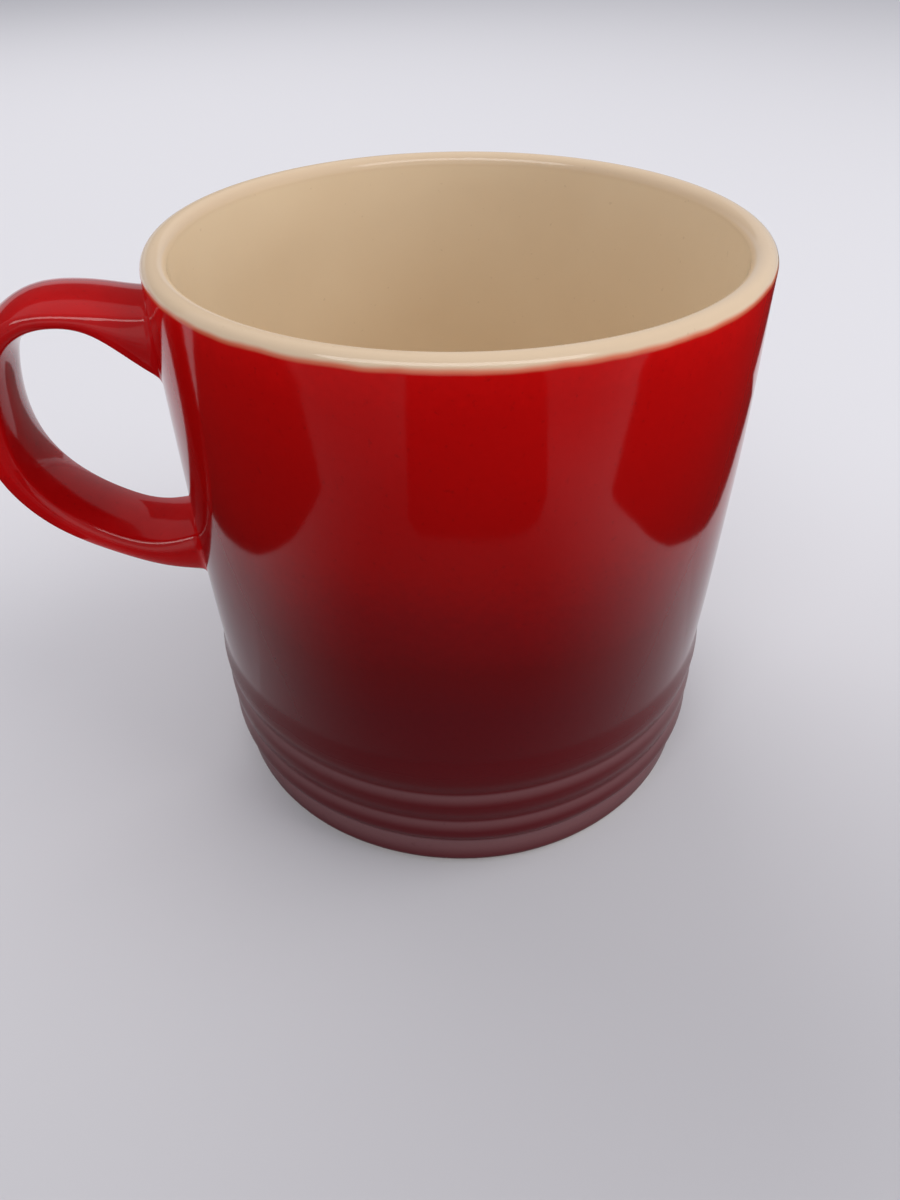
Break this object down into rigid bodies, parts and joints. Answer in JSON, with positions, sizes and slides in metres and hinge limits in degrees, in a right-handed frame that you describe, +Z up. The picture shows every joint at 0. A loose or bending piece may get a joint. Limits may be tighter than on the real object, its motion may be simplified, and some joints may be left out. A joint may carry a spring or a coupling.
{
  "type": "ceramic mug",
  "caption": "Straight-sided glazed stoneware mug with a strap handle, a rounded cream lip and three turned grooves above its foot.",
  "frame": {"origin": "centre of the foot ring, on the surface that the mug stands on", "axes": "+Z up along the cup's axis, -X towards the handle"},
  "size_m": [0.117, 0.0888, 0.0915],
  "materials": {
    "clay": "unglazed fired stoneware",
    "slip": "unglazed fired slip",
    "cream_glaze": "gloss",
    "red_glaze": "gloss, darkening to maroon at the foot"
  },
  "bodies": {
    "root": {"cup_body": "clay", "handle_core": "clay", "upper_slip_joint": "slip", "lower_slip_joint": "slip", "interior_glaze": "cream_glaze", "exterior_glaze": "red_glaze", "handle_glaze": "red_glaze", "underside_glaze": "cream_glaze"}
  },
  "joints": []
}
